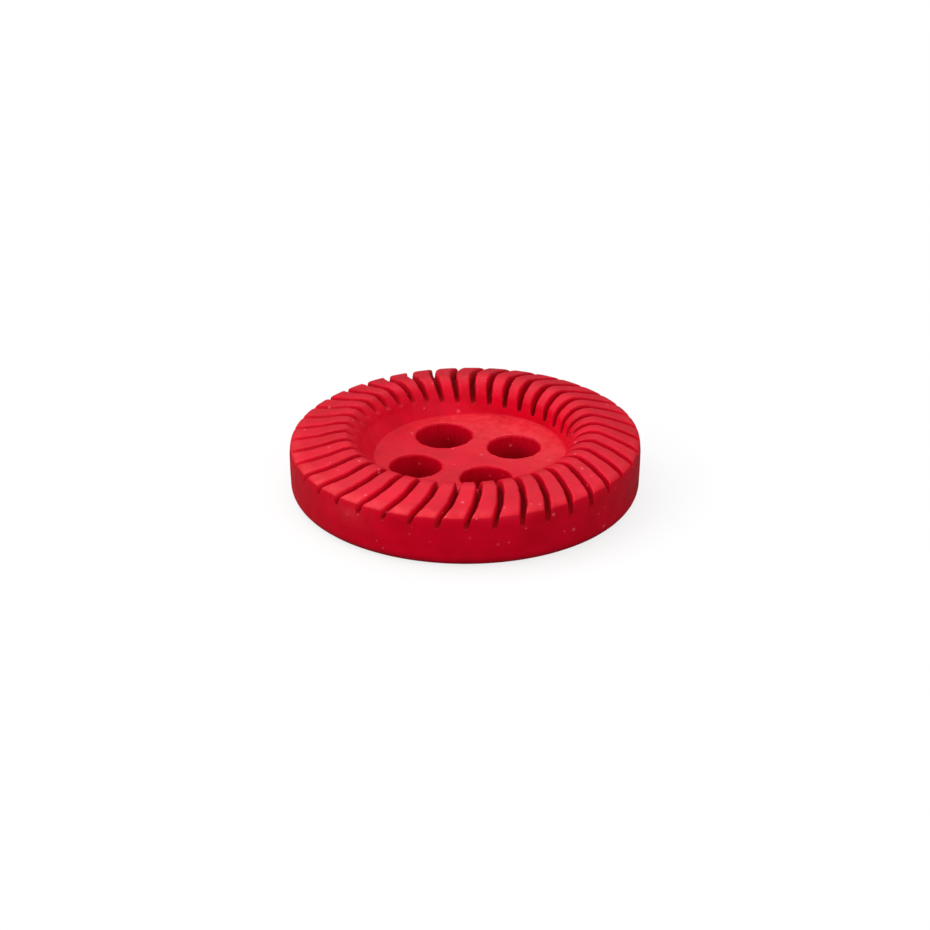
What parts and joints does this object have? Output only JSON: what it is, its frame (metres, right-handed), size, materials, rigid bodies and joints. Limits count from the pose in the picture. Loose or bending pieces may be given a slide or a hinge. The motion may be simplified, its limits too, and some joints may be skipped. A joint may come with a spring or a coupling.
{
  "type": "sewing button",
  "caption": "Round moulded sewing button with a raised rim cut by curved slots, a dished centre and thread holes through its floor; it is sewn on to close or trim a garment.",
  "frame": {"origin": "centre of the flat back face", "axes": "+Z out of the front of the button; the four thread holes stand on a square whose sides run along X and Y"},
  "size_m": [0.015, 0.015, 0.003],
  "materials": {
    "button_plastic": "satin"
  },
  "bodies": {
    "root": {"button": "button_plastic"}
  },
  "joints": []
}
